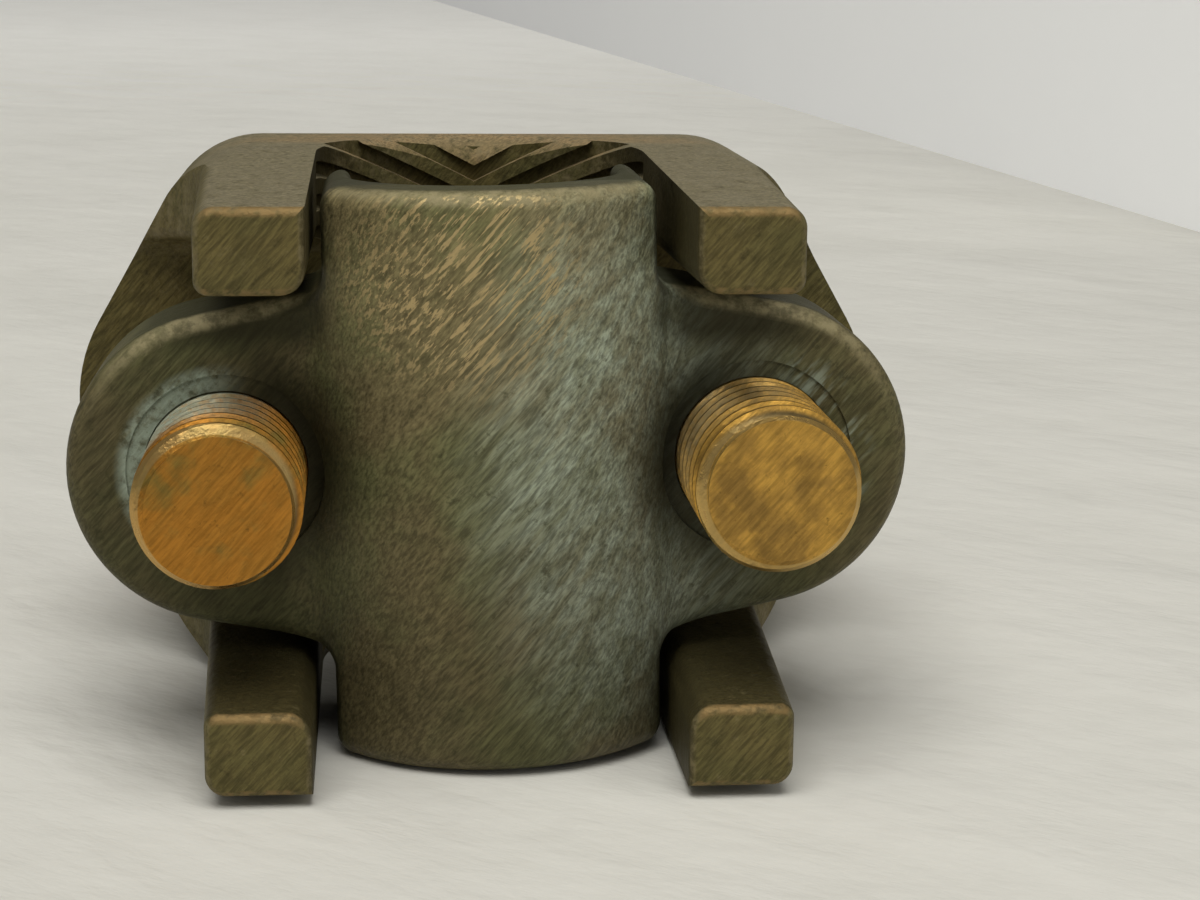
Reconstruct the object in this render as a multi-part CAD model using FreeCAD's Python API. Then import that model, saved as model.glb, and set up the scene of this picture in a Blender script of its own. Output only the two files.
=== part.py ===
import FreeCAD, Part
import math
import os
from FreeCAD import Vector

# Parallel clamp connector: a rear body with four guide fingers, a sliding clamp cap and two hex bolts with
# lock washers. Modelled with y = 0 at the finger tips, y growing towards the bolt heads, z up from the
# base and x = 0 on the plane of symmetry. Every piece is moved at the end so that the origin is the
# middle of the footprint.

# Bolts, half-inch coarse thread
inch = 25.4
bolt_diameter = 0.5 * inch
bolt_length = 2.25 * inch
bolt_spacing = 41.6
head_across_flats = 0.75 * inch
head_height = 7.94
head_chamfer_angle = 30.0
end_chamfer_radial = 0.8
end_chamfer_length = 1.3
threads_per_inch = 13
thread_depth = 1.2
thread_length = 41.0
thread_crest_width = 0.31
thread_root_width = 0.27
washer_rim = 0.05
washer_thickness = 3.18
washer_split_width = 1.2
washer_split_angle = 35.0

# Rear body
tip_height = 43.6
draft_rise = 0.9
run_groove_radius = 14.0
run_groove_depth = 51.0
back_wall = 5.0
flange_thickness = 13.0
body_lobe_radius = 14.4
shoulder_slope = 29.5
shoulder_corner_radius = 9.0
flange_edge_radius = 1.2
spot_face_depth = 0.5
cable_mouth_flare = 3.3
cable_mouth_inset = 1.3

# Guide fingers of the rear body
finger_tip_width = 7.9
finger_side_draft = 2.6
finger_tip_height = 6.35
finger_root_height = 7.1
finger_flare_radius = 12.0
finger_root_fillet = 2.8
finger_inner_round = 1.9
finger_outer_round = 1.6
finger_near_round = 1.1
finger_tip_round = 0.8

# Chevron ribs in the run groove
rib_pitch = 2.8
rib_hollow_width = 1.3
rib_hollow_depth = 1.0
rib_slope = 27.0
rib_first_drop = 1.25

# Clamp cap
saddle_radius = 16.0
saddle_crown_y = 5.6
saddle_corner_radius = 1.7
tap_groove_radius = 10.5
tap_mouth_round = 0.8
ear_front_y = 15.0
ear_thickness = 10.5
ear_lobe_drop = 1.6
ear_blend_radius = 5.0
ear_notch_radius = 1.4
cap_edge_radius = 1.5
ear_spot_gap = 1.35
ear_spot_depth = 0.2
cap_roll = 1.2

# Clearances
guide_clearance = 1.23
ear_finger_clearance = 0.7
cap_end_gap = 0.35
clearance_hole_gap = 0.55
spot_face_gap = 0.95
washer_hole_gap = 0.2
thread_gap = 0.05

# Aids for cutting and for finding edges
overshoot = 5.0
match_tolerance = 0.01
thread_overcut = 0.1
long_edge = 2.0

# Worked out from the sizes above
bolt_radius = bolt_diameter / 2
thread_pitch = inch / threads_per_inch
bolt_x = bolt_spacing / 2
head_corner_radius = head_across_flats / math.sqrt(3)
washer_radius = head_corner_radius + washer_rim
spot_face_radius = washer_radius + spot_face_gap
body_height = tip_height + 2 * draft_rise
bolt_z = body_height / 2
run_groove_y = run_groove_depth - run_groove_radius
back_y = run_groove_depth + back_wall
flange_y = back_y - flange_thickness
below_z = -overshoot
above_z = body_height + overshoot
finger_tip_x = run_groove_radius + finger_tip_width
beside_x = bolt_x + body_lobe_radius + 2 * overshoot
seat_y = back_y - spot_face_depth
head_y = seat_y + washer_thickness
overall_depth = head_y + head_height
saddle_half_width = run_groove_radius - guide_clearance
saddle_centre_y = saddle_crown_y + saddle_radius
ear_back_y = ear_front_y + ear_thickness
ear_low_z = draft_rise + finger_root_height + ear_finger_clearance
ear_lobe_radius = bolt_z - ear_low_z - ear_lobe_drop
ear_far_x = bolt_x + ear_lobe_radius
cap_low_z = cap_end_gap
cap_height = body_height - 2 * cap_end_gap


def arc(start, middle, end):
    return Part.Arc(start, middle, end).toShape()


def line(start, end):
    return Part.LineSegment(start, end).toShape()


def polar(centre, radius, angle):
    """Point of a circle in an XZ plane; the angle is counted from +x towards +z."""
    turn = math.radians(angle)
    return centre + Vector(radius * math.cos(turn), 0, radius * math.sin(turn))


def round_corner(centre, radius, start, end):
    """Arc of a circle in an XZ plane, between two angles."""
    middle = (start + end) / 2
    return arc(polar(centre, radius, start), polar(centre, radius, middle), polar(centre, radius, end))


def prism(edges, direction):
    return Part.Face(Part.Wire(edges)).extrude(direction)


def cylinder_y(x, z, radius, start_y, end_y):
    return Part.makeCylinder(radius, end_y - start_y, Vector(x, start_y, z), Vector(0, 1, 0))


def edges_where(shape, test):
    """Edges of a shape that pass a test on the edge and its middle point."""
    found = []
    for edge in shape.Edges:
        middle = edge.valueAt((edge.FirstParameter + edge.LastParameter) / 2)
        if test(edge, middle):
            found.append(edge)
    return found


def edges_at_y(shape, y):
    """Edges that lie wholly in one plane across the y axis."""

    def in_plane(edge, middle):
        return abs(middle.y - y) < match_tolerance and edge.BoundBox.YLength < match_tolerance

    return edges_where(shape, in_plane)


def seated(shape):
    """Move a piece from the finger-tip frame to the part's own frame."""
    moved = shape.copy()
    moved.translate(Vector(0, -overall_depth / 2, 0))
    return moved


def rolled(shape):
    """Cap, bolts and washers sit turned a little together, as far as the bolts' clearance holes let them."""
    turned = shape.copy()
    turned.rotate(Vector(0, 0, bolt_z), Vector(0, -1, 0), cap_roll)
    return turned


def shoulder_round_x():
    """How far out the centre of each of the outline's corner rounds lies."""
    slope = math.radians(shoulder_slope)
    corner_x = bolt_x + (body_lobe_radius - math.sin(slope) * bolt_z) / math.cos(slope)
    return corner_x - shoulder_corner_radius * math.tan((math.pi / 2 - slope) / 2)


def body_outline(y):
    """Front view of the rear body: flat top and base, sloped shoulders, round bolt lobes."""
    up = shoulder_slope
    corner = shoulder_corner_radius
    lobe = body_lobe_radius
    corner_x = shoulder_round_x()
    right = Vector(bolt_x, y, bolt_z)
    left = Vector(-bolt_x, y, bolt_z)
    top_right = Vector(corner_x, y, body_height - corner)
    top_left = Vector(-corner_x, y, body_height - corner)
    base_right = Vector(corner_x, y, corner)
    base_left = Vector(-corner_x, y, corner)
    return [
        line(polar(top_left, corner, 90), polar(top_right, corner, 90)),
        round_corner(top_right, corner, 90, up),
        line(polar(top_right, corner, up), polar(right, lobe, up)),
        round_corner(right, lobe, up, -up),
        line(polar(right, lobe, -up), polar(base_right, corner, -up)),
        round_corner(base_right, corner, -up, -90),
        line(polar(base_right, corner, -90), polar(base_left, corner, -90)),
        round_corner(base_left, corner, -90, -180 + up),
        line(polar(base_left, corner, -180 + up), polar(left, lobe, -180 + up)),
        round_corner(left, lobe, -180 + up, -180 - up),
        line(polar(left, lobe, 180 - up), polar(top_left, corner, 180 - up)),
        round_corner(top_left, corner, 180 - up, 90),
    ]


def run_channel(radius, low_z, high_z):
    """The U-shaped space for the cables: a half round that runs on straight to the finger tips."""
    front_left = Vector(-radius, -overshoot, low_z)
    front_right = Vector(radius, -overshoot, low_z)
    right = Vector(radius, run_groove_y, low_z)
    bottom = Vector(0, run_groove_y + radius, low_z)
    left = Vector(-radius, run_groove_y, low_z)
    edges = [line(front_left, front_right), line(front_right, right), arc(right, bottom, left),
             line(left, front_left)]
    return prism(edges, Vector(0, 0, high_z - low_z))


def finger_plan():
    """Right finger seen from above: a slight draft outside, then a wide flare into the flange."""
    flare_start_y = flange_y - finger_flare_radius
    flare_x = finger_tip_x + math.tan(math.radians(finger_side_draft)) * flare_start_y
    bulge = finger_flare_radius * (1 - math.cos(math.pi / 4))
    inner_tip = Vector(0, 0, below_z)
    outer_tip = Vector(finger_tip_x, 0, below_z)
    flare_start = Vector(flare_x, flare_start_y, below_z)
    flare_middle = Vector(flare_x + bulge, flange_y - bulge, below_z)
    flare_end = Vector(flare_x + finger_flare_radius, flange_y, below_z)
    outer_front = Vector(beside_x, flange_y, below_z)
    outer_back = Vector(beside_x, run_groove_depth, below_z)
    inner_back = Vector(0, run_groove_depth, below_z)
    edges = [
        line(inner_tip, outer_tip),
        line(outer_tip, flare_start),
        arc(flare_start, flare_middle, flare_end),
        line(flare_end, outer_front),
        line(outer_front, outer_back),
        line(outer_back, inner_back),
        line(inner_back, inner_tip),
    ]
    return prism(edges, Vector(0, 0, above_z - below_z))


def finger_profile():
    """Lower finger seen from the side: drafted base, face towards the bolts and root fillet."""
    fillet = finger_root_fillet
    bend = fillet * (1 - math.cos(math.pi / 4))
    root_z = draft_rise + finger_root_height
    base_tip = Vector(0, 0, draft_rise)
    base_flange = Vector(0, flange_y, 0)
    base_back = Vector(0, run_groove_depth, 0)
    near_tip = Vector(0, 0, draft_rise + finger_tip_height)
    near_root = Vector(0, flange_y - fillet, root_z)
    near_bend = Vector(0, flange_y - bend, root_z + bend)
    near_flange = Vector(0, flange_y, root_z + fillet)
    near_back = Vector(0, run_groove_depth, root_z + fillet)
    edges = [
        line(near_tip, near_root),
        arc(near_root, near_bend, near_flange),
        line(near_flange, near_back),
        line(near_back, base_back),
        line(base_back, base_flange),
        line(base_flange, base_tip),
        line(base_tip, near_tip),
    ]
    return prism(edges, Vector(beside_x, 0, 0))


def finger():
    """Lower right finger with its cast edge rounds."""
    solid = finger_plan().common(finger_profile())
    solid = solid.cut(run_channel(run_groove_radius, below_z, above_z))
    near_z = draft_rise + finger_tip_height

    def long_edges_from(x, z):
        """Long edges that start at a corner of the finger's tip."""

        def starts_there(edge, middle):
            ends = [edge.Vertexes[0].Point, edge.Vertexes[-1].Point]
            ends.sort(key=lambda point: point.y)
            at_corner = (ends[0] - Vector(x, 0, z)).Length < match_tolerance
            return at_corner and ends[1].y - ends[0].y > long_edge

        return edges_where(solid, starts_there)

    solid = solid.makeFillet(finger_inner_round, long_edges_from(run_groove_radius, near_z))
    solid = solid.makeFillet(finger_outer_round, long_edges_from(finger_tip_x, draft_rise))
    solid = solid.makeFillet(finger_near_round, long_edges_from(finger_tip_x, near_z))
    solid = solid.makeFillet(finger_tip_round, edges_at_y(solid, 0))
    return solid.common(prism(body_outline(-overshoot), Vector(0, back_y + overshoot, 0)))


def chevron_hollows():
    """Hollows between the chevron ribs: bands that rise to both sides, kept to a half ring in the groove."""
    ring = run_channel(run_groove_radius + rib_hollow_depth, below_z, above_z)
    inside = run_channel(run_groove_radius - rib_hollow_depth, below_z - overshoot, above_z + overshoot)
    ring = ring.cut(inside)
    front = Part.makeBox(2 * beside_x, back_y, above_z - below_z)
    front.translate(Vector(-beside_x, run_groove_y - back_y, below_z))
    ring = ring.cut(front)
    half_width = run_groove_radius + 2 * rib_hollow_depth
    thickness = rib_hollow_width / math.cos(math.radians(rib_slope))
    lift = math.tan(math.radians(rib_slope)) * half_width
    highest = body_height - rib_first_drop
    count = int((highest + lift + thickness) / rib_pitch) + 1
    bands = []
    for index in range(count):
        z = highest - index * rib_pitch
        outline = [(-half_width, z + lift), (0, z), (half_width, z + lift)]
        outline += [(x, height + thickness) for x, height in reversed(outline)]
        corners = [Vector(x, run_groove_y, height) for x, height in outline]
        edges = [line(corners[i - 1], corners[i]) for i in range(len(corners))]
        bands.append(prism(edges, Vector(0, half_width, 0)))
    return Part.makeCompound(bands).common(ring)


def cable_mouth(end_z, outward):
    """Rounded lead-in at one end of the run groove: deepest at the groove's bottom, nothing at its sides."""
    flare = cable_mouth_flare
    radius = run_groove_radius - cable_mouth_inset
    inside = Vector(0, run_groove_depth + flare - radius, end_z - outward * flare)
    plug = Part.makeCylinder(radius, 2 * flare, inside, Vector(0, 0, outward))
    return plug.cut(Part.makeTorus(radius, flare, inside, Vector(0, 0, 1)))


def rear_body():
    """One casting: flange with two bolt lobes, ribbed groove and four fingers."""
    flange = prism(body_outline(flange_y), Vector(0, flange_thickness, 0))
    flange = flange.makeFillet(flange_edge_radius, edges_at_y(flange, back_y))
    solid = flange.cut(run_channel(run_groove_radius, below_z, above_z))
    middle = Vector(0, 0, bolt_z)
    lower = finger()
    for right in (lower, lower.mirror(middle, Vector(0, 0, 1))):
        solid = solid.fuse(right)
        solid = solid.fuse(right.mirror(middle, Vector(1, 0, 0)))
    solid = solid.removeSplitter()
    solid = solid.cut(cable_mouth(body_height, 1))
    solid = solid.cut(cable_mouth(0, -1))
    hole_radius = bolt_radius + clearance_hole_gap
    behind_y = back_y + overshoot
    for x in (-bolt_x, bolt_x):
        solid = solid.cut(cylinder_y(x, bolt_z, hole_radius, flange_y - overshoot, behind_y))
        solid = solid.cut(cylinder_y(x, bolt_z, spot_face_radius, seat_y, behind_y))
    return solid.cut(chevron_hollows())


def cap_section():
    """Plan of the cap: round saddle, concave blends, two flat ears and the tap groove behind."""
    z = cap_low_z
    far_x = ear_far_x + overshoot
    blend = ear_blend_radius
    blend_y = ear_front_y - blend
    rise = saddle_centre_y - blend_y
    blend_x = math.sqrt((saddle_radius + blend) ** 2 - rise ** 2)
    share = saddle_radius / (saddle_radius + blend)
    join_x = blend_x * share
    join_y = saddle_centre_y - rise * share
    middle_angle = (math.atan2(join_y - blend_y, join_x - blend_x) + math.pi / 2) / 2
    middle_x = blend_x + blend * math.cos(middle_angle)
    middle_y = blend_y + blend * math.sin(middle_angle)
    groove = tap_groove_radius
    edges = [
        line(Vector(-far_x, ear_back_y, z), Vector(-far_x, ear_front_y, z)),
        line(Vector(-far_x, ear_front_y, z), Vector(-blend_x, ear_front_y, z)),
        arc(Vector(-blend_x, ear_front_y, z), Vector(-middle_x, middle_y, z), Vector(-join_x, join_y, z)),
        arc(Vector(-join_x, join_y, z), Vector(0, saddle_crown_y, z), Vector(join_x, join_y, z)),
        arc(Vector(join_x, join_y, z), Vector(middle_x, middle_y, z), Vector(blend_x, ear_front_y, z)),
        line(Vector(blend_x, ear_front_y, z), Vector(far_x, ear_front_y, z)),
        line(Vector(far_x, ear_front_y, z), Vector(far_x, ear_back_y, z)),
        line(Vector(far_x, ear_back_y, z), Vector(groove, ear_back_y, z)),
        line(Vector(groove, ear_back_y, z), Vector(groove, saddle_centre_y, z)),
        arc(Vector(groove, saddle_centre_y, z), Vector(0, saddle_centre_y - groove, z),
            Vector(-groove, saddle_centre_y, z)),
        line(Vector(-groove, saddle_centre_y, z), Vector(-groove, ear_back_y, z)),
        line(Vector(-groove, ear_back_y, z), Vector(-far_x, ear_back_y, z)),
    ]
    return prism(edges, Vector(0, 0, cap_height))


def ear_edge_angle():
    """Slope of the ear's edge, which clears the finger and is tangent to the ear's round end."""
    dx = bolt_x - run_groove_radius
    dz = bolt_z - ear_low_z
    return math.atan2(dz, dx) - math.asin(ear_lobe_radius / math.hypot(dx, dz))


def cap_outline():
    """Front view of the cap: the tall saddle strip with an ear on each side, quarter by quarter."""
    angle = ear_edge_angle()
    slope = math.degrees(angle)
    side = saddle_half_width
    low = cap_low_z
    corner = saddle_corner_radius
    notch = ear_notch_radius
    edge_z = ear_low_z - guide_clearance * math.tan(angle)
    spread = notch / math.tan((math.pi / 2 + angle) / 2)
    foot = Vector(0, 0, low)
    foot_end = Vector(side - corner, 0, low)
    side_start = Vector(side, 0, low + corner)
    side_end = Vector(side, 0, edge_z - spread)
    ear_start = Vector(side + spread * math.cos(angle), 0, edge_z + spread * math.sin(angle))
    notch_centre = side_end + Vector(notch, 0, 0)
    lobe_centre = Vector(bolt_x, 0, bolt_z)
    lobe_start = polar(lobe_centre, ear_lobe_radius, slope - 90)
    quarter = [
        line(foot, foot_end),
        round_corner(foot_end + Vector(0, 0, corner), corner, -90, 0),
        line(side_start, side_end),
        round_corner(notch_centre, notch, 180, 90 + slope),
        line(ear_start, lobe_start),
        round_corner(lobe_centre, ear_lobe_radius, slope - 90, 0),
    ]
    edges = []
    for edge in quarter:
        flipped = edge.mirror(lobe_centre, Vector(0, 0, 1))
        edges.extend([edge, flipped])
        edges.extend([edge.mirror(foot, Vector(1, 0, 0)), flipped.mirror(foot, Vector(1, 0, 0))])
    return Part.sortEdges(edges)[0]


def clamp_cap():
    """One casting: saddle, tap groove and two tapped ears."""
    outline = prism(cap_outline(), Vector(0, ear_back_y + overshoot, 0))
    solid = cap_section().common(outline)
    groove_bottom_y = saddle_centre_y - tap_groove_radius

    def on_ear_front(edge, middle):
        beside_saddle = abs(middle.x) > saddle_half_width + match_tolerance
        return beside_saddle and middle.y < ear_front_y + match_tolerance

    def on_groove_end(edge, middle):
        level = edge.BoundBox.ZLength < match_tolerance
        within_x = abs(middle.x) < tap_groove_radius + match_tolerance
        within_y = groove_bottom_y - match_tolerance < middle.y < ear_back_y - match_tolerance
        return level and within_x and within_y

    solid = solid.makeFillet(cap_edge_radius, edges_where(solid, on_ear_front))
    solid = solid.makeFillet(tap_mouth_round, edges_where(solid, on_groove_end))
    for x in (-bolt_x, bolt_x):
        solid = solid.cut(cylinder_y(x, bolt_z, bolt_radius + thread_gap, 0, ear_back_y + overshoot))
        solid = solid.cut(cylinder_y(x, bolt_z, bolt_radius + ear_spot_gap, 0, ear_front_y + ear_spot_depth))
    return solid


def thread_grooves(x, end_y):
    """Grooves of the bolt's thread, each a ring of the thread's own section, one pitch apart."""
    root_radius = bolt_radius - thread_depth
    outer_radius = bolt_radius + thread_overcut
    flank = (thread_pitch - thread_crest_width - thread_root_width) / 2
    half_root = thread_root_width / 2
    half_outer = half_root + flank * (outer_radius - root_radius) / thread_depth
    grooves = []
    for index in range(int(thread_length / thread_pitch)):
        y = end_y + (index + 0.5) * thread_pitch
        section = [(root_radius, y - half_root), (root_radius, y + half_root)]
        section += [(outer_radius, y + half_outer), (outer_radius, y - half_outer)]
        corners = [Vector(x + radius, place_y, bolt_z) for radius, place_y in section]
        face = Part.Face(Part.Wire([line(corners[i - 1], corners[i]) for i in range(len(corners))]))
        grooves.append(face.revolve(Vector(x, 0, bolt_z), Vector(0, 1, 0), 360))
    return Part.makeCompound(grooves)


def hex_bolt(x):
    """Hex bolt along y: chamfered threaded end in front, head behind."""
    end_y = head_y - bolt_length
    shank = cylinder_y(x, bolt_z, bolt_radius, end_y, head_y)
    shank = shank.makeChamfer(end_chamfer_length, end_chamfer_radial, edges_at_y(shank, end_y))
    shank = shank.cut(thread_grooves(x, end_y))
    flat_radius = head_across_flats / 2
    centre = Vector(x, head_y, bolt_z)
    corners = [polar(centre, head_corner_radius, 60 * i) for i in range(6)]
    head = prism([line(corners[i - 1], corners[i]) for i in range(6)], Vector(0, head_height, 0))
    cone_height = (head_corner_radius - flat_radius) * math.tan(math.radians(head_chamfer_angle))
    cone_y = head_y + head_height - cone_height
    dome = cylinder_y(x, bolt_z, head_corner_radius, head_y, cone_y)
    cone_place = Vector(x, cone_y, bolt_z)
    cone = Part.makeCone(head_corner_radius, flat_radius, cone_height, cone_place, Vector(0, 1, 0))
    return shank.fuse(head.common(dome.fuse(cone))).removeSplitter()


def lock_washer(x):
    """Split spring washer, pressed flat, with a slanted split."""
    ring = cylinder_y(x, bolt_z, washer_radius, seat_y, head_y)
    ring = ring.cut(cylinder_y(x, bolt_z, bolt_radius + washer_hole_gap, seat_y, head_y))
    split_length = 3 * washer_thickness
    split = Part.makeBox(washer_split_width, split_length, 2 * washer_radius)
    split.translate(Vector(-washer_split_width / 2, -split_length / 2, 0))
    split.rotate(Vector(0, 0, 0), Vector(0, 0, 1), washer_split_angle)
    split.translate(Vector(x, (seat_y + head_y) / 2, bolt_z))
    return ring.cut(split)


pieces = {
    "rear_body": rear_body(),
    "clamp_cap": rolled(clamp_cap()),
    "bolt_left": rolled(hex_bolt(-bolt_x)),
    "bolt_right": rolled(hex_bolt(bolt_x)),
    "lock_washer_left": rolled(lock_washer(-bolt_x)),
    "lock_washer_right": rolled(lock_washer(bolt_x)),
}

os.makedirs("parts", exist_ok=True)
for node, shape in pieces.items():
    seated(shape).exportStep("parts/" + node + ".step")
    print(node, len(shape.Solids), shape.isValid(), round(shape.Volume, 1), shape.BoundBox)
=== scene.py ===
import math

import bpy
from mathutils import Matrix, Vector


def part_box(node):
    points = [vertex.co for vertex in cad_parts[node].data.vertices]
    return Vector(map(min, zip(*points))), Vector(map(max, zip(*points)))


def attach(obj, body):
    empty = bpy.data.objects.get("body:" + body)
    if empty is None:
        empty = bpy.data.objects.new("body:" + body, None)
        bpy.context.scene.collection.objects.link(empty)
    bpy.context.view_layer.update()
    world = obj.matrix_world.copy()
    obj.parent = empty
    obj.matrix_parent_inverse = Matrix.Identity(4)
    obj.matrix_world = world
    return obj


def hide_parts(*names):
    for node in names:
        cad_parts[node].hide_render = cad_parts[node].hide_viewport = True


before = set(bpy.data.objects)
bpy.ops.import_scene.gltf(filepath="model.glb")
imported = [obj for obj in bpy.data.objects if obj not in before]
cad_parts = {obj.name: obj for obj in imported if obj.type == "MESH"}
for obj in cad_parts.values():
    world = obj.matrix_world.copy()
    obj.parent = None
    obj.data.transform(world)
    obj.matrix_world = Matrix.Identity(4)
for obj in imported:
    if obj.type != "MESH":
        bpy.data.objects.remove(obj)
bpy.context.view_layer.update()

# The camera stands close in front of the finger tips, a little above the connector and looking down at it,
# turned slightly to the right. Angles are in degrees.
mm = 0.001
camera_place = Vector((-9.106, -205.274, 63.149)) * mm
camera_down = 11.85
camera_right = 5.36
camera_roll = 0.565
camera_lens = 73.056

camera_data = bpy.data.cameras.new("camera")
camera_data.lens = camera_lens
camera_data.sensor_width = 36.0
camera_data.sensor_fit = "HORIZONTAL"
camera_data.clip_start = 0.01
camera_data.clip_end = 20.0
camera = bpy.data.objects.new("camera", camera_data)
bpy.context.scene.collection.objects.link(camera)
down = math.radians(camera_down)
turn = math.radians(camera_right)
forward = Vector((math.sin(turn) * math.cos(down), math.cos(turn) * math.cos(down), -math.sin(down)))
sideways = forward.cross(Vector((0, 0, 1))).normalized()
upward = sideways.cross(forward)
roll = math.radians(camera_roll)
camera_x = sideways * math.cos(roll) + upward * math.sin(roll)
camera_y = upward * math.cos(roll) - sideways * math.sin(roll)
turned = Matrix((camera_x, camera_y, -forward)).transposed().to_4x4()
camera.matrix_world = Matrix.Translation(camera_place) @ turned
bpy.context.scene.camera = camera

# Soft daylight of a room: one large soft lamp above and in front, a faint one to the right, and a little
# even light from all round.
key_place = Vector((-0.11, -0.42, 1.22))
key_size = 1.05
key_power = 13.2
fill_place = Vector((0.55, -0.5, 0.4))
fill_size = 0.7
fill_power = 0.8
lamp_colour = (1.0, 0.985, 0.93)
room_strength = 0.16


def soft_lamp(name, place, size, power):
    lamp_data = bpy.data.lights.new(name, "AREA")
    lamp_data.shape = "SQUARE"
    lamp_data.size = size
    lamp_data.energy = power
    lamp_data.color = lamp_colour
    lamp = bpy.data.objects.new(name, lamp_data)
    bpy.context.scene.collection.objects.link(lamp)
    aim = Vector((0, 0, 0.02)) - place
    lamp.matrix_world = Matrix.Translation(place) @ aim.to_track_quat("-Z", "Y").to_matrix().to_4x4()


soft_lamp("key_lamp", key_place, key_size, key_power)
soft_lamp("fill_lamp", fill_place, fill_size, fill_power)
room = bpy.data.worlds.new("room")
bpy.context.scene.world = room
room.use_nodes = True
room.node_tree.nodes["Background"].inputs["Color"].default_value = (*lamp_colour, 1.0)
room.node_tree.nodes["Background"].inputs["Strength"].default_value = room_strength
bpy.context.scene.view_settings.view_transform = "Standard"

# A white cotton cloth spread on a table, and a pale wall some way behind it. Neither is part of the
# connector.
cloth_size = 24.0
cloth_colour = (0.775, 0.765, 0.722)
crease_shade_and_soil = (0.63, 0.62, 0.575)
# colour of the painted shadow on the cloth under the connector
cloth_painted_shadow = (0.07, 0.065, 0.05)
crease_width = 34 * mm
yarn_width = 1.1 * mm
# how far from the middle the painted shadow under the connector starts, and where it is full
painted_shadow_from = 22 * mm
painted_shadow_full = 12 * mm
far_glow = 0.52
far_glow_reach = 1.5
wall_length = 3.6
wall_middle = Vector((0.067, 2.10, 1.2))
wall_heading = 93.5
wall_colour = (0.80, 0.80, 0.785)
wall_shade = (0.77, 0.77, 0.76)
wall_glow = 0.385


def start_material(name):
    """New material with the standard surface shader."""
    material = bpy.data.materials.new(name)
    material.use_nodes = True
    return material


def shader(material):
    """The material's surface shader."""
    return material.node_tree.nodes["Principled BSDF"]


def put(material, kind, inputs=None, **settings):
    """Adds a node; an input is a number or colour, or another node's output to link."""
    made = material.node_tree.nodes.new(kind)
    for setting, value in settings.items():
        setattr(made, setting, value)
    for socket, value in (inputs or {}).items():
        feed(material, made.inputs[socket], value)
    return made


def feed(material, socket, value):
    """Links another node's output to a socket, or sets the socket to a number or colour."""
    if isinstance(value, bpy.types.NodeSocket):
        material.node_tree.links.new(value, socket)
    elif isinstance(value, tuple) and len(value) == 3 and socket.type == "RGBA":
        socket.default_value = (*value, 1.0)
    else:
        socket.default_value = value


def place_on_object(material, turn=(0, 0, 0), scale=(1, 1, 1), shift=(0, 0, 0)):
    """Coordinates in metres on the object, turned in degrees, then scaled and shifted."""
    place = put(material, "ShaderNodeTexCoord").outputs["Object"]
    angles = tuple(math.radians(angle) for angle in turn)
    if any(turn):
        place = put(material, "ShaderNodeMapping", {"Vector": place, "Rotation": angles}).outputs["Vector"]
    mapping = put(material, "ShaderNodeMapping", {"Vector": place, "Scale": scale, "Location": shift})
    return mapping.outputs["Vector"]


def noise(material, vector, grain, detail=4.0, roughness=0.55):
    """Cloudy noise whose patches are about one grain across, in metres."""
    return put(material, "ShaderNodeTexNoise", {"Vector": vector, "Scale": 1.0 / grain, "Detail": detail,
                                                "Roughness": roughness}).outputs["Fac"]


def step(material, value, low, high, bottom=0.0, top=1.0):
    """Smooth rise from bottom to top as the value goes from low to high."""
    return put(material, "ShaderNodeMapRange", {"Value": value, "From Min": low, "From Max": high,
                                                "To Min": bottom, "To Max": top},
               interpolation_type="SMOOTHSTEP").outputs["Result"]


def math_node(material, operation, first, second):
    """One step of arithmetic; all but a difference is kept between 0 and 1."""
    made = put(material, "ShaderNodeMath", operation=operation, use_clamp=operation != "SUBTRACT")
    feed(material, made.inputs[0], first)
    feed(material, made.inputs[1], second)
    return made.outputs["Value"]


def times(material, first, second):
    return math_node(material, "MULTIPLY", first, second)


def blend_colours(material, amount, first, second):
    """Goes from the first colour to the second as the amount goes from 0 to 1."""
    made = put(material, "ShaderNodeMix", data_type="RGBA")
    feed(material, made.inputs[0], amount)
    feed(material, made.inputs[6], first)
    feed(material, made.inputs[7], second)
    return made.outputs[2]


def bump(material, height, distance, strength=1.0, normal=None):
    """Normals of a relief as deep as the distance, in metres, on top of an earlier one."""
    made = put(material, "ShaderNodeBump", {"Height": height, "Distance": distance, "Strength": strength})
    if normal is not None:
        feed(material, made.inputs["Normal"], normal)
    return made.outputs["Normal"]


def deselect():
    """Leaves edit mode and selects nothing."""
    if bpy.context.object and bpy.context.object.mode != "OBJECT":
        bpy.ops.object.mode_set(mode="OBJECT")
    bpy.ops.object.select_all(action="DESELECT")


def along(material, axis):
    """One of the object's own coordinates, in metres."""
    coordinates = put(material, "ShaderNodeTexCoord").outputs["Object"]
    return put(material, "ShaderNodeSeparateXYZ", {"Vector": coordinates}).outputs[axis]


def brushed(material, width, angle=48.0, stretch=9.0):
    """Fine streaks that run up to the right, a width across in metres and some times as long."""
    place = place_on_object(material, turn=(0, angle - 90, 0), scale=(1, 1, 1 / stretch))
    return noise(material, place, width, detail=3.0, roughness=0.65)


cotton = start_material("white_cotton")
along_creases = place_on_object(cotton, turn=(0, 0, -35), scale=(1, 0.55, 1))
creases = noise(cotton, along_creases, crease_width, detail=4.0)
along_threads = place_on_object(cotton, turn=(0, 0, -50), scale=(1, 0.4, 1))
threads = noise(cotton, along_threads, yarn_width, detail=2.0)
soiled = noise(cotton, place_on_object(cotton), 20 * mm, detail=5.0)
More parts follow.
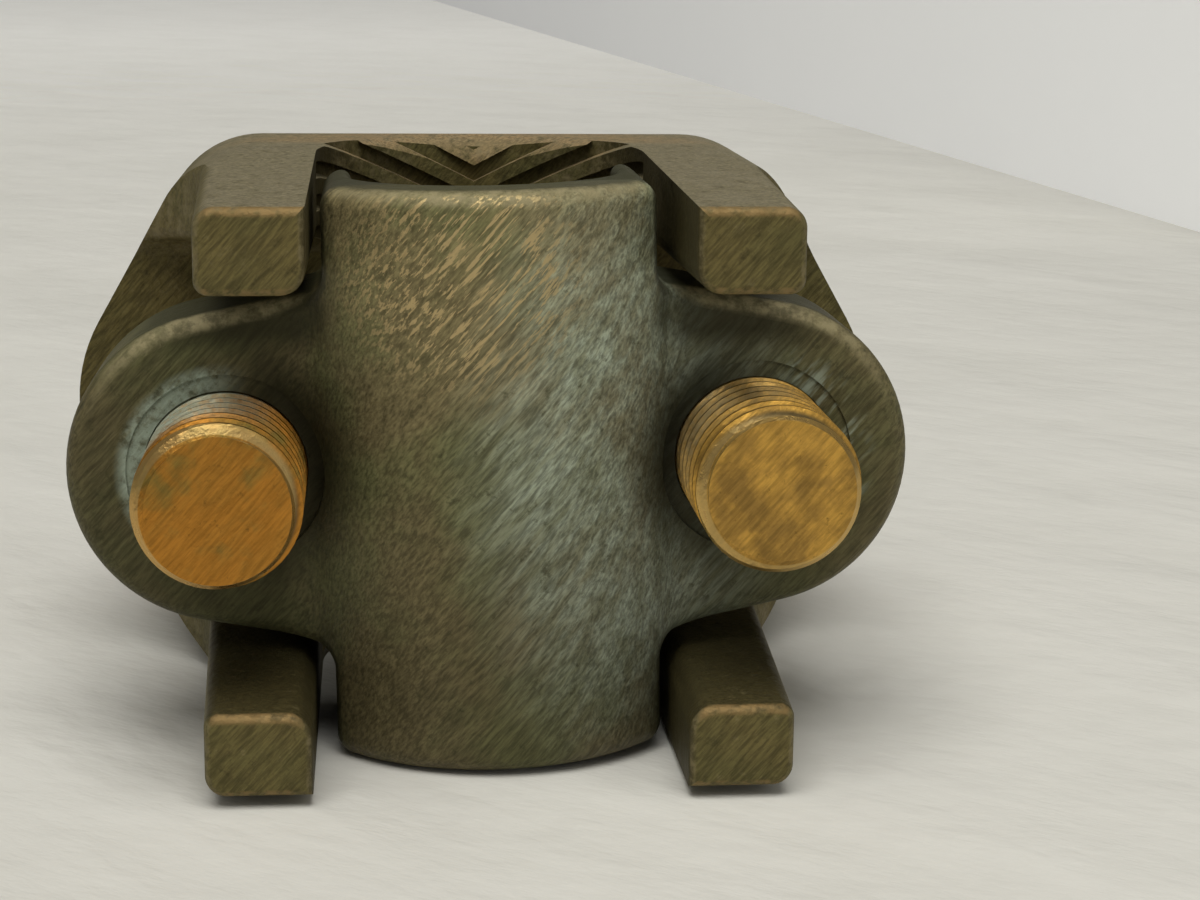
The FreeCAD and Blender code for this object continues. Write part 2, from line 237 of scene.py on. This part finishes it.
# The creases' hollows get painted shade, and soiled patches take the same darker colour.
cotton_tint = blend_colours(cotton, step(cotton, creases, 0.62, 0.3, 0.0, 0.26), cloth_colour, crease_shade_and_soil)
cotton_tint = blend_colours(cotton, step(cotton, soiled, 0.55, 0.75, 0.0, 0.25), cotton_tint, crease_shade_and_soil)
from_middle = put(cotton, "ShaderNodeVectorMath", {"Vector": place_on_object(cotton)}, operation="LENGTH")
# Painted shadow: the cloth is darkened under the connector, round the middle.
painted_shadow_under = step(cotton, from_middle.outputs["Value"], painted_shadow_from, painted_shadow_full, 0.0, 0.85)
cotton_tint = blend_colours(cotton, painted_shadow_under, cotton_tint, cloth_painted_shadow)
feed(cotton, shader(cotton).inputs["Base Color"], cotton_tint)
feed(cotton, shader(cotton).inputs["Emission Color"], cotton_tint)
# Painted light: where the camera sees it, the cloth glows more the farther it lies from the middle.
seen_directly = put(cotton, "ShaderNodeLightPath").outputs["Is Camera Ray"]
far_painted_glow = step(cotton, from_middle.outputs["Value"], -0.05, far_glow_reach, 0.0, far_glow)
feed(cotton, shader(cotton).inputs["Emission Strength"], times(cotton, seen_directly, far_painted_glow))
shader(cotton).inputs["Roughness"].default_value = 0.9
crease_bump = bump(cotton, creases, 8 * mm, 0.5)
feed(cotton, shader(cotton).inputs["Normal"], bump(cotton, threads, 0.3 * mm, 0.5, crease_bump))

deselect()
bpy.ops.mesh.primitive_plane_add(size=cloth_size, location=(0, 0, 0))
cloth = bpy.context.object
cloth.name = "cloth"
cloth.data.materials.append(cotton)

paint = start_material("pale_wall")
wall_tint = blend_colours(paint, noise(paint, place_on_object(paint), 0.3), wall_colour, wall_shade)
feed(paint, shader(paint).inputs["Base Color"], wall_tint)
feed(paint, shader(paint).inputs["Emission Color"], wall_tint)
seen_directly = put(paint, "ShaderNodeLightPath").outputs["Is Camera Ray"]
feed(paint, shader(paint).inputs["Emission Strength"], times(paint, seen_directly, wall_glow))
shader(paint).inputs["Roughness"].default_value = 0.8
deselect()
bpy.ops.mesh.primitive_plane_add(size=wall_length, location=wall_middle,
                                 rotation=(math.radians(90), 0, math.radians(wall_heading)))
wall = bpy.context.object
wall.name = "wall"
wall.data.materials.append(paint)

# The rear body is one sand casting in bronze, gone olive brown outdoors: four fingers, two bolt lobes and
# the ribbed groove. Handling has rubbed the finger tips' edges and the groove's rim, and dust lies on top.
body_brown = (0.118, 0.094, 0.034)
body_olive = (0.092, 0.082, 0.030)
body_light = (0.200, 0.165, 0.085)
body_dark = (0.036, 0.030, 0.012)
body_dust = (0.205, 0.178, 0.112)
body_rubbed = (0.245, 0.165, 0.068)
rim_tan = (0.300, 0.205, 0.100)
streak_width = 0.24 * mm
dust_from_z, dust_full_z = 34 * mm, 42 * mm
shade_from_z, shade_full_z = 16 * mm, 10 * mm
tip_from_y, tip_full_y = -30 * mm, -32 * mm
groove_middle_y = 3.7 * mm
rim_from_y, rim_full_y = 9 * mm, 14 * mm
rim_reach, rim_full_reach = 27 * mm, 18 * mm
patina_gloss = 0.3
patina_gloss_tint = (1.0, 0.86, 0.60)


def cast_surface(material, normal_strength=0.6):
    """Sand-cast skin: a fine grain with shallow waves and a few small pits."""
    place = place_on_object(material)
    grain = noise(material, place, 0.7 * mm, detail=3.0, roughness=0.6)
    waves = noise(material, place, 6 * mm, detail=2.0)
    pits = put(material, "ShaderNodeTexVoronoi", {"Vector": place, "Scale": 420.0}).outputs["Distance"]
    pit_depth = step(material, pits, 0.08, 0.28)
    rough = bump(material, waves, 0.9 * mm, normal_strength)
    rough = bump(material, pit_depth, 0.12 * mm, normal_strength * 0.7, rough)
    return bump(material, grain, 0.22 * mm, normal_strength, rough)


def facing(material, direction, low, high):
    """How far the surface faces a direction fixed to the object."""
    normal = put(material, "ShaderNodeTexCoord").outputs["Normal"]
    product = put(material, "ShaderNodeVectorMath", operation="DOT_PRODUCT")
    feed(material, product.inputs[0], normal)
    feed(material, product.inputs[1], tuple(Vector(direction).normalized()))
    return step(material, product.outputs["Value"], low, high)


def facing_out(material, low, high):
    """How far the surface faces away from the plane of symmetry, times its distance from it, in metres."""
    normal = put(material, "ShaderNodeTexCoord").outputs["Normal"]
    across = put(material, "ShaderNodeSeparateXYZ", {"Vector": normal}).outputs["X"]
    product = put(material, "ShaderNodeMath", operation="MULTIPLY")
    feed(material, product.inputs[0], across)
    feed(material, product.inputs[1], along(material, "X"))
    return step(material, product.outputs["Value"], low, high)


def edge_rounds(material, low=0.35, high=0.90):
    """Picks out rounds between a face across the y axis and a face along it, whose normals lie between."""
    normal = put(material, "ShaderNodeTexCoord").outputs["Normal"]
    back = put(material, "ShaderNodeSeparateXYZ", {"Vector": normal}).outputs["Y"]
    squared = put(material, "ShaderNodeMath", operation="MULTIPLY")
    feed(material, squared.inputs[0], back)
    feed(material, squared.inputs[1], back)
    share = squared.outputs["Value"]
    rest = math_node(material, "SUBTRACT", 1.0, share)
    return step(material, times(material, share, rest), low / 4, high / 4)


def lighten(material, tint, value, lowest, highest):
    """Takes a colour from a lower to a higher share of itself as a noise goes from a low to a high value."""
    share = step(material, value, 0.30, 0.70, lowest, highest)
    made = put(material, "ShaderNodeHueSaturation", {"Value": share, "Color": tint})
    return made.outputs["Color"]


body_patina = start_material("rear_body_patina")
patches = noise(body_patina, place_on_object(body_patina), 11 * mm, detail=5.0, roughness=0.6)
speckle = noise(body_patina, place_on_object(body_patina), 1.1 * mm, detail=4.0, roughness=0.7)
streaks = brushed(body_patina, streak_width)
tint = blend_colours(body_patina, step(body_patina, patches, 0.35, 0.68), body_brown, body_olive)
upper = times(body_patina, facing(body_patina, (0, 0, 1), 0.60, 0.98),
              step(body_patina, along(body_patina, "Z"), dust_from_z, dust_full_z))
dusty = times(body_patina, upper, step(body_patina, speckle, 0.30, 0.60, 0.55, 0.95))
tint = blend_colours(body_patina, dusty, tint, body_dust)
# Painted shade: upward faces low down, on the lower fingers under the ears, are darkened.
painted_shade_low = times(body_patina, facing(body_patina, (0, 0, 1), 0.30, 0.80),
                 step(body_patina, along(body_patina, "Z"), shade_from_z, shade_full_z))
tint = blend_colours(body_patina, times(body_patina, painted_shade_low, 0.8), tint, body_dark)
groove_place = place_on_object(body_patina, scale=(1, 1, 0), shift=(0, -groove_middle_y, 0))
from_groove = put(body_patina, "ShaderNodeVectorMath", {"Vector": groove_place}, operation="LENGTH")
behind = times(body_patina, step(body_patina, along(body_patina, "Y"), rim_from_y, rim_full_y),
               step(body_patina, from_groove.outputs["Value"], rim_reach, rim_full_reach))
rim = times(body_patina, facing(body_patina, (0, -0.5, 1), 0.45, 0.85), behind)
rim = times(body_patina, rim, step(body_patina, speckle, 0.32, 0.64, 0.20, 0.85))
tint = blend_colours(body_patina, rim, tint, rim_tan)
tint = blend_colours(body_patina, step(body_patina, speckle, 0.56, 0.78, 0.0, 0.45), tint, body_light)
tint = blend_colours(body_patina, step(body_patina, speckle, 0.44, 0.24, 0.0, 0.65), tint, body_dark)
tint = lighten(body_patina, tint, streaks, 0.62, 1.42)
# Painted shade: faces that look in towards the channel's middle are darkened.
painted_shade_inner_side = times(body_patina, facing_out(body_patina, -6 * mm, -11 * mm), 0.85)
tint = blend_colours(body_patina, painted_shade_inner_side, tint, body_dark)
edges = times(body_patina, edge_rounds(body_patina), step(body_patina, speckle, 0.42, 0.66, 0.10, 0.75))
tint = blend_colours(body_patina, edges, tint, body_light)
near_tip = step(body_patina, along(body_patina, "Y"), tip_from_y, tip_full_y)
edge = times(body_patina, facing(body_patina, (0, -1, 1), 0.74, 0.95), near_tip)
low_edge = times(body_patina, facing(body_patina, (0, -1, -1), 0.80, 0.96), near_tip)
wear = times(body_patina, edge, step(body_patina, speckle, 0.32, 0.58, 0.25, 1.0))
low_wear = times(body_patina, low_edge, step(body_patina, speckle, 0.42, 0.62, 0.0, 0.7))
wear = math_node(body_patina, "MAXIMUM", wear, low_wear)
tint = blend_colours(body_patina, wear, tint, body_rubbed)
feed(body_patina, shader(body_patina).inputs["Base Color"], tint)
feed(body_patina, shader(body_patina).inputs["Roughness"], step(body_patina, patches, 0.3, 0.7, 0.50, 0.64))
feed(body_patina, shader(body_patina).inputs["Metallic"], times(body_patina, wear, 0.45))
feed(body_patina, shader(body_patina).inputs["Specular Tint"], patina_gloss_tint)
feed(body_patina, shader(body_patina).inputs["Specular IOR Level"], patina_gloss)
feed(body_patina, shader(body_patina).inputs["Normal"],
     bump(body_patina, streaks, 0.08 * mm, 0.5, cast_surface(body_patina)))
rear_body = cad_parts["rear_body"]
rear_body.data.materials.clear()
rear_body.data.materials.append(body_patina)

# The clamp cap is a second sand casting of the same bronze, gone dark olive: a saddle over the tap cable
# and two tapped ears. A blue-grey bloom lies on its right half, verdigris round the bolts, and scratches
# show the metal near its top.
cap_olive = (0.116, 0.116, 0.050)
cap_brown = (0.140, 0.116, 0.056)
cap_dark = (0.040, 0.040, 0.018)
# near-black of the painted shade on the cap
cap_painted_shade = (0.022, 0.022, 0.010)
cap_bloom = (0.246, 0.277, 0.213)
cap_rubbed = (0.330, 0.285, 0.160)
cap_scratch = (0.560, 0.430, 0.215)
verdigris = (0.400, 0.470, 0.380)
bolt_spacing_half = 20.8 * mm
bolt_middle_z = 22.7 * mm
bolt_side_drop = 0.436 * mm
cap_top_z = 46 * mm
bloom_x, bloom_z, bloom_reach_x, bloom_reach_z = 10.645 * mm, 23.889 * mm, 16.129 * mm, 27.778 * mm
scratch_x, scratch_z, scratch_reach_x, scratch_reach_z = -2.955 * mm, 39.286 * mm, 11.364 * mm, 11.905 * mm


def from_axis(material, x, z):
    """Distance from a line that runs straight back, in metres."""
    shift = place_on_object(material, scale=(1, 0, 1), shift=(-x, 0, -z))
    return put(material, "ShaderNodeVectorMath", {"Vector": shift}, operation="LENGTH").outputs["Value"]


def round_spot(material, x, z, reach_x, reach_z):
    """Fades from 1 at a place seen from the front to 0 at its reach to the sides and up and down."""
    scale = (1 / reach_x, 0, 1 / reach_z)
    place = place_on_object(material, scale=scale, shift=(-x / reach_x, 0, -z / reach_z))
    spot = put(material, "ShaderNodeTexGradient", {"Vector": place}, gradient_type="SPHERICAL")
    return spot.outputs["Fac"]


cap_patina = start_material("clamp_cap_patina")
patches = noise(cap_patina, place_on_object(cap_patina), 14 * mm, detail=5.0, roughness=0.6)
speckle = noise(cap_patina, place_on_object(cap_patina), 1 * mm, detail=4.0, roughness=0.7)
streaks = brushed(cap_patina, streak_width)
wide_streaks = brushed(cap_patina, 1 * mm, stretch=6.0)
tint = blend_colours(cap_patina, step(cap_patina, patches, 0.38, 0.62), cap_brown, cap_olive)
bloom_spot = round_spot(cap_patina, bloom_x, bloom_z, bloom_reach_x, bloom_reach_z)
bloom = times(cap_patina, step(cap_patina, bloom_spot, 0.0, 0.6),
              step(cap_patina, wide_streaks, 0.34, 0.70, 0.42, 1.0))
bloom = times(cap_patina, bloom, step(cap_patina, patches, 0.28, 0.56, 0.55, 1.0))
tint = blend_colours(cap_patina, bloom, tint, cap_bloom)
tint = lighten(cap_patina, tint, streaks, 0.60, 1.45)
tint = lighten(cap_patina, tint, wide_streaks, 0.88, 1.14)
tint = blend_colours(cap_patina, step(cap_patina, speckle, 0.44, 0.25, 0.0, 0.7), tint, cap_dark)
# Painted light and shade: the cap is lighter towards the top and darker towards the bottom.
painted_light_share = step(cap_patina, along(cap_patina, "Z"), 0.0, cap_top_z, 0.66, 1.42)
painted_height_shading = put(cap_patina, "ShaderNodeHueSaturation", {"Value": painted_light_share, "Color": tint})
tint = painted_height_shading.outputs["Color"]
# Painted shade: the ears are darkened from the saddle's sides outwards.
painted_shade_ear_left = step(cap_patina, along(cap_patina, "X"), -13 * mm, -19 * mm, 0.0, 0.44)
painted_shade_ear_right = step(cap_patina, along(cap_patina, "X"), 14 * mm, 19 * mm, 0.0, 0.32)
tint = blend_colours(cap_patina, math_node(cap_patina, "MAXIMUM", painted_shade_ear_left, painted_shade_ear_right), tint, cap_painted_shade)
# Painted shade: the saddle's sides beside the fingers, above and below the ears, are darkened.
above_ears = step(cap_patina, along(cap_patina, "Z"), 31.5 * mm, 35 * mm)
below_ears = step(cap_patina, along(cap_patina, "Z"), 11 * mm, 8 * mm)
painted_shade_beside_finger = times(cap_patina, facing_out(cap_patina, 8 * mm, 11.5 * mm),
                      math_node(cap_patina, "MAXIMUM", above_ears, below_ears))
tint = blend_colours(cap_patina, times(cap_patina, painted_shade_beside_finger, 0.8), tint, cap_painted_shade)
# Painted shadow: the tops of the ears just under the upper fingers are darkened.
off_middle = math_node(cap_patina, "ABSOLUTE", along(cap_patina, "X"), 0.0)
painted_shade_under_finger = times(cap_patina, step(cap_patina, along(cap_patina, "Z"), 31 * mm, 33.5 * mm),
                     times(cap_patina, step(cap_patina, off_middle, 13 * mm, 15 * mm),
                           step(cap_patina, off_middle, 27.5 * mm, 22.5 * mm)))
tint = blend_colours(cap_patina, times(cap_patina, painted_shade_under_finger, 0.85), tint, cap_painted_shade)
# Painted shade: the top ends of the saddle's arms are darkened.
painted_shade_arm_ends = times(cap_patina, step(cap_patina, along(cap_patina, "Z"), 40.5 * mm, 42 * mm),
                 step(cap_patina, along(cap_patina, "Y"), -21.4 * mm, -20.4 * mm))
tint = blend_colours(cap_patina, times(cap_patina, painted_shade_arm_ends, 0.85), tint, cap_painted_shade)
end_face = times(cap_patina, facing(cap_patina, (0, 0, 1), 0.80, 0.96), 0.8)
tint = blend_colours(cap_patina, end_face, tint, cap_dark)
top_edge = times(cap_patina, facing(cap_patina, (0, -1, 1), 0.72, 0.96),
                 step(cap_patina, speckle, 0.36, 0.64, 0.3, 0.9))
tint = blend_colours(cap_patina, top_edge, tint, cap_rubbed)
left_axis = from_axis(cap_patina, -bolt_spacing_half, bolt_middle_z - bolt_side_drop)
right_axis = from_axis(cap_patina, bolt_spacing_half, bolt_middle_z + bolt_side_drop)
left_of_bolt = step(cap_patina, along(cap_patina, "X"), -18.5 * mm, -23.5 * mm)
left_ring = times(cap_patina, step(cap_patina, left_axis, 8.8 * mm, 7.6 * mm), left_of_bolt)
left_ring = times(cap_patina, left_ring, step(cap_patina, speckle, 0.3, 0.6, 0.15, 0.85))
right_ring = times(cap_patina, step(cap_patina, right_axis, 10 * mm, 7.6 * mm),
                   step(cap_patina, wide_streaks, 0.50, 0.68, 0.0, 0.7))
right_ring = times(cap_patina, right_ring, step(cap_patina, along(cap_patina, "X"), 20.5 * mm, 24.5 * mm))
rings = math_node(cap_patina, "MAXIMUM", left_ring, right_ring)
rings = times(cap_patina, rings, step(cap_patina, along(cap_patina, "Y"), -15 * mm, -17.2 * mm))
tint = blend_colours(cap_patina, rings, tint, verdigris)
# Painted shade: the ears between each bolt and the saddle are darkened.
inner_left = times(cap_patina, step(cap_patina, left_axis, 12 * mm, 7.2 * mm),
                   step(cap_patina, along(cap_patina, "X"), -20.5 * mm, -16.5 * mm))
inner_right = times(cap_patina, step(cap_patina, right_axis, 11.5 * mm, 7.2 * mm),
                    step(cap_patina, along(cap_patina, "X"), 20.5 * mm, 16.5 * mm))
painted_shade_by_bolts = math_node(cap_patina, "MAXIMUM", inner_left, inner_right)
tint = blend_colours(cap_patina, times(cap_patina, painted_shade_by_bolts, 0.85), tint, cap_painted_shade)
fine = brushed(cap_patina, 0.3 * mm, stretch=12.0)
scratch_spot = round_spot(cap_patina, scratch_x, scratch_z, scratch_reach_x, scratch_reach_z)
scratch = times(cap_patina, step(cap_patina, fine, 0.51, 0.60), step(cap_patina, scratch_spot, 0.0, 0.6))
scratch = times(cap_patina, scratch, facing(cap_patina, (0, -1, 0), 0.5, 0.8))
tint = blend_colours(cap_patina, scratch, tint, cap_scratch)
feed(cap_patina, shader(cap_patina).inputs["Base Color"], tint)
feed(cap_patina, shader(cap_patina).inputs["Roughness"], step(cap_patina, patches, 0.3, 0.7, 0.46, 0.60))
feed(cap_patina, shader(cap_patina).inputs["Metallic"], times(cap_patina, scratch, 0.7))
feed(cap_patina, shader(cap_patina).inputs["Specular Tint"], patina_gloss_tint)
feed(cap_patina, shader(cap_patina).inputs["Specular IOR Level"], patina_gloss)
cap_normal = cast_surface(cap_patina, 0.35)
cap_normal = bump(cap_patina, wide_streaks, 0.25 * mm, 0.5, cap_normal)
feed(cap_patina, shader(cap_patina).inputs["Normal"], bump(cap_patina, streaks, 0.1 * mm, 0.6, cap_normal))
clamp_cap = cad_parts["clamp_cap"]
clamp_cap.data.materials.clear()
clamp_cap.data.materials.append(cap_patina)

# Two half-inch hex bolts of silicon bronze come through from behind and are screwed into the cap's ears.
# Their rolled coarse thread stands out in front, with a flat chamfered end.
thread_pitch = 25.4 / 13 * mm
thread_outer = 6.35 * mm
thread_inner = 5.15 * mm
thread_length = 41.0 * mm
thread_play = 0.02 * mm
crest_share = 0.16
root_share = 0.14
end_chamfer_length = 1.3 * mm
end_chamfer_radial = 0.8 * mm
thread_steps = 48
turns_in_front = 2
head_height = 7.94 * mm
head_across_flats = 19.05 * mm
head_edge_round = 0.25 * mm
head_cone_angle = 30.0
shank_sides = 64
sharp_from_angle = 25.0
bolt_speck = (0.100, 0.060, 0.015)
bolt_root = (0.050, 0.042, 0.018)
bolt_bright = (0.560, 0.400, 0.160)
bolt_mark_width = 0.26 * mm


def ring_move(vector):
    """Extrudes what is selected by a vector."""
    bpy.ops.mesh.extrude_region_move(TRANSFORM_OT_translate={"value": vector})


def combine(bar, other, operation):
    """Cuts or joins a second solid and removes it."""
    deselect()
    bar.select_set(True)
    bpy.context.view_layer.objects.active = bar
    change = bar.modifiers.new("change", "BOOLEAN")
    change.operation = operation
    change.solver = "EXACT"
    change.object = other
    bpy.ops.object.modifier_apply(modifier="change")
    bpy.data.objects.remove(other)


def round_bar(axis_x, axis_z, radius, near_y, far_y, cone_length=0.0, cone_share=1.0):
    """Round bar along y with a cone behind it, or in front of it where the cone's length is negative."""
    deselect()
    bpy.ops.mesh.primitive_cylinder_add(vertices=shank_sides, radius=radius, depth=far_y - near_y,
                                        location=(axis_x, (near_y + far_y) / 2, axis_z),
                                        rotation=(math.radians(90), 0, 0))
    bar = bpy.context.object
    bpy.ops.object.transform_apply(location=True, rotation=True, scale=True)
    if cone_length:
        bpy.ops.object.mode_set(mode="EDIT")
        bpy.ops.mesh.select_all(action="DESELECT")
        bpy.ops.object.mode_set(mode="OBJECT")
        toward = math.copysign(1, cone_length)
        for face in bar.data.polygons:
            face.select = face.normal.y * toward > 0.9
        bpy.ops.object.mode_set(mode="EDIT")
        ring_move((0, cone_length, 0))
        bpy.ops.transform.resize(value=(cone_share, 1, cone_share), center_override=(axis_x, near_y, axis_z))
        bpy.ops.object.mode_set(mode="OBJECT")
    return bar


def bolt_mesh(name, low, high, thread_turn):
    """One bolt with its end in front; its axis is worked out from the box of its solid."""
    axis_x = (low.x + high.x) / 2
    axis_z = (low.z + high.z) / 2
    end_y = low.y
    shoulder_y = high.y - head_height
    deselect()
    bpy.ops.mesh.primitive_plane_add(size=0.001, location=(0, 0, 0))
    rod = bpy.context.object
    rod.name = name
    bpy.ops.object.mode_set(mode="EDIT")
    bpy.ops.mesh.select_all(action="SELECT")
    bpy.ops.mesh.merge(type="CENTER")
    bpy.ops.transform.translate(value=(thread_inner, 0, 0))
    flank = (1 - crest_share - root_share) / 2 * thread_pitch
    depth = thread_outer - thread_play - thread_inner
    ring_move((0, 0, root_share / 2 * thread_pitch))
    ring_move((depth / 2, 0, flank / 2))
    ring_move((depth / 2, 0, flank / 2))
    ring_move((0, 0, crest_share * thread_pitch))
    ring_move((-depth / 2, 0, flank / 2))
    ring_move((-depth / 2, 0, flank / 2))
    ring_move((0, 0, root_share / 2 * thread_pitch))
    bpy.ops.object.mode_set(mode="OBJECT")
    helix = rod.modifiers.new("helix", "SCREW")
    helix.axis = "Z"
    helix.angle = math.radians(360)
    helix.screw_offset = thread_pitch
    helix.iterations = math.ceil(thread_length / thread_pitch) + turns_in_front + 1
    helix.steps = thread_steps
    helix.render_steps = thread_steps
    helix.use_merge_vertices = False
    bpy.ops.object.modifier_apply(modifier="helix")
    lie_down = Matrix.Translation((axis_x, end_y, axis_z)) @ Matrix.Rotation(math.radians(-90), 4, "X")
    rod.data.transform(lie_down @ Matrix.Rotation(math.radians(thread_turn), 4, "Z")
                       @ Matrix.Translation((0, 0, -turns_in_front * thread_pitch)))
    bpy.ops.object.mode_set(mode="EDIT")
    bpy.ops.mesh.select_all(action="SELECT")
    bpy.ops.mesh.remove_doubles(threshold=1e-6)
    bpy.ops.mesh.select_all(action="SELECT")
    bpy.ops.mesh.fill_holes(sides=0)
    bpy.ops.mesh.select_all(action="SELECT")
    bpy.ops.mesh.normals_make_consistent(inside=False)
    bpy.ops.object.mode_set(mode="OBJECT")
    cone_share = 1 - end_chamfer_radial / thread_outer
    blank = round_bar(axis_x, axis_z, thread_outer, end_y + end_chamfer_length, shoulder_y,
                      -end_chamfer_length, cone_share)
    combine(rod, blank, "INTERSECT")
    shank = round_bar(axis_x, axis_z, thread_outer, end_y + thread_length, shoulder_y + head_height / 2)
    combine(rod, shank, "UNION")
    combine(rod, hex_head(axis_x, axis_z, shoulder_y), "UNION")
    bpy.ops.object.shade_smooth_by_angle(angle=math.radians(sharp_from_angle))
    return rod


def hex_head(axis_x, axis_z, shoulder_y):
    """Hexagon with its outer corners turned off to a cone, and its edges eased a little."""
    corner_radius = head_across_flats / math.sqrt(3)
    middle_y = shoulder_y + head_height / 2
    deselect()
    bpy.ops.mesh.primitive_cylinder_add(vertices=6, radius=corner_radius, depth=head_height,
                                        location=(axis_x, middle_y, axis_z),
                                        rotation=(math.radians(90), math.radians(30), 0))
    head = bpy.context.object
    bpy.ops.object.transform_apply(location=True, rotation=True, scale=True)
    ease = head.modifiers.new("ease", "BEVEL")
    ease.width = head_edge_round
    ease.segments = 3
    bpy.ops.object.modifier_apply(modifier="ease")
    cone_length = (corner_radius - head_across_flats / 2) * math.tan(math.radians(head_cone_angle))
    turned_off = round_bar(axis_x, axis_z, corner_radius, shoulder_y, shoulder_y + head_height - cone_length,
                           cone_length, head_across_flats / 2 / corner_radius)
    combine(head, turned_off, "INTERSECT")
    return head


def bolt_bronze(name, axis_x, axis_z, end_y, finish):
    """Golden bronze, bright on the end and the crests, dull in the roots, green beside the casting."""
    face_colour, stain_colour, stain_from, marks_share, verdigris_share = finish
    material = start_material(name)
    place = place_on_object(material)
    cloud = noise(material, place, 4.2 * mm, detail=5.0, roughness=0.6)
    speckle = noise(material, place, 0.7 * mm, detail=4.0, roughness=0.7)
    marks = brushed(material, bolt_mark_width)
    broad_marks = brushed(material, 2.4 * mm, stretch=4.0)
    stained = step(material, cloud, stain_from, stain_from + 0.25)
    marked = step(material, broad_marks, 0.48, 0.62, 0.0, marks_share)
    stained = math_node(material, "MAXIMUM", stained, marked)
    tint = blend_colours(material, stained, face_colour, stain_colour)
    tint = lighten(material, tint, marks, 0.80, 1.22)
    tint = blend_colours(material, step(material, speckle, 0.40, 0.22, 0.0, 0.7), tint, bolt_speck)
    radius = from_axis(material, axis_x, axis_z)
    depth = along(material, "Y")
    threaded = times(material, step(material, depth, end_y + 0.6 * mm, end_y + 1.6 * mm),
                     step(material, depth, end_y + thread_length + 0.3 * mm, end_y + thread_length))
    root = times(material, threaded, step(material, radius, 6.20 * mm, 5.75 * mm))
    tint = blend_colours(material, times(material, root, 0.9), tint, bolt_root)
    rim = times(material, step(material, radius, 5.50 * mm, 5.62 * mm),
                step(material, depth, end_y + 1.5 * mm, end_y + 1.2 * mm))
    tint = blend_colours(material, times(material, rim, 0.6), tint, bolt_bright)
    green = times(material, step(material, depth, end_y + 3.5 * mm, end_y + 8.0 * mm),
                  facing(material, (-1, 0, 1), -0.1, 0.6))
    green = times(material, green, step(material, speckle, 0.25, 0.6, 0.3, 1.0))
    green = times(material, green, step(material, depth, end_y + 17.0 * mm, end_y + 14.0 * mm))
    green = times(material, green, verdigris_share)
    tint = blend_colours(material, green, tint, verdigris)
    feed(material, shader(material).inputs["Base Color"], tint)
    dull = math_node(material, "MAXIMUM", green, times(material, root, 0.8))
    feed(material, shader(material).inputs["Metallic"], step(material, dull, 0.0, 1.0, 0.85, 0.1))
    roughness = step(material, cloud, 0.3, 0.7, 0.36, 0.52)
    roughness = math_node(material, "SUBTRACT", roughness, times(material, rim, 0.12))
    feed(material, shader(material).inputs["Roughness"], roughness)
    feed(material, shader(material).inputs["Specular Tint"], patina_gloss_tint)
    dents = bump(material, cloud, 0.5 * mm, 0.6)
    scored = bump(material, marks, 0.08 * mm, 0.5, dents)
    feed(material, shader(material).inputs["Normal"], bump(material, speckle, 0.06 * mm, 0.4, scored))
    return material


# for each side: how far the thread is turned, in degrees, then the end's colour, its stains' colour, how
# widely they spread, the share of broad marks and of verdigris
bolt_sides = (
    ("left", 200.0, ((0.45, 0.198, 0.030), (0.25, 0.180, 0.044), 0.46, 0.15, 0.95)),
    ("right", 95.0, ((0.61, 0.350, 0.072), (0.33, 0.195, 0.050), 0.42, 0.75, 0.25)),
)
for side, turn_of_thread, finish in bolt_sides:
    node = "bolt_" + side
    low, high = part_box(node)
    bolt = bolt_mesh(node + "_threaded", low, high, turn_of_thread)
    bolt.data.materials.append(bolt_bronze(node + "_bronze", (low.x + high.x) / 2, (low.z + high.z) / 2,
                                           low.y, finish))
    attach(bolt, side + "_bolt")
    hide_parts(node)

# A split spring washer of bronze sits under each bolt's head, pressed flat against the casting.
washer_colour = (0.34, 0.24, 0.12)
washer_dark = (0.13, 0.10, 0.06)
spring_bronze = start_material("lock_washer_bronze")
dulled = noise(spring_bronze, place_on_object(spring_bronze), 4 * mm, detail=5.0, roughness=0.6)
grain = noise(spring_bronze, place_on_object(spring_bronze), 0.6 * mm, detail=3.0)
tint = blend_colours(spring_bronze, step(spring_bronze, dulled, 0.4, 0.65), washer_colour, washer_dark)
feed(spring_bronze, shader(spring_bronze).inputs["Base Color"], tint)
shader(spring_bronze).inputs["Metallic"].default_value = 0.6
washer_roughness = step(spring_bronze, dulled, 0.3, 0.7, 0.4, 0.6)
feed(spring_bronze, shader(spring_bronze).inputs["Roughness"], washer_roughness)
feed(spring_bronze, shader(spring_bronze).inputs["Normal"], bump(spring_bronze, grain, 0.1 * mm, 0.5))
for side in ("left", "right"):
    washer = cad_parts["lock_washer_" + side]
    washer.data.materials.clear()
    washer.data.materials.append(spring_bronze)
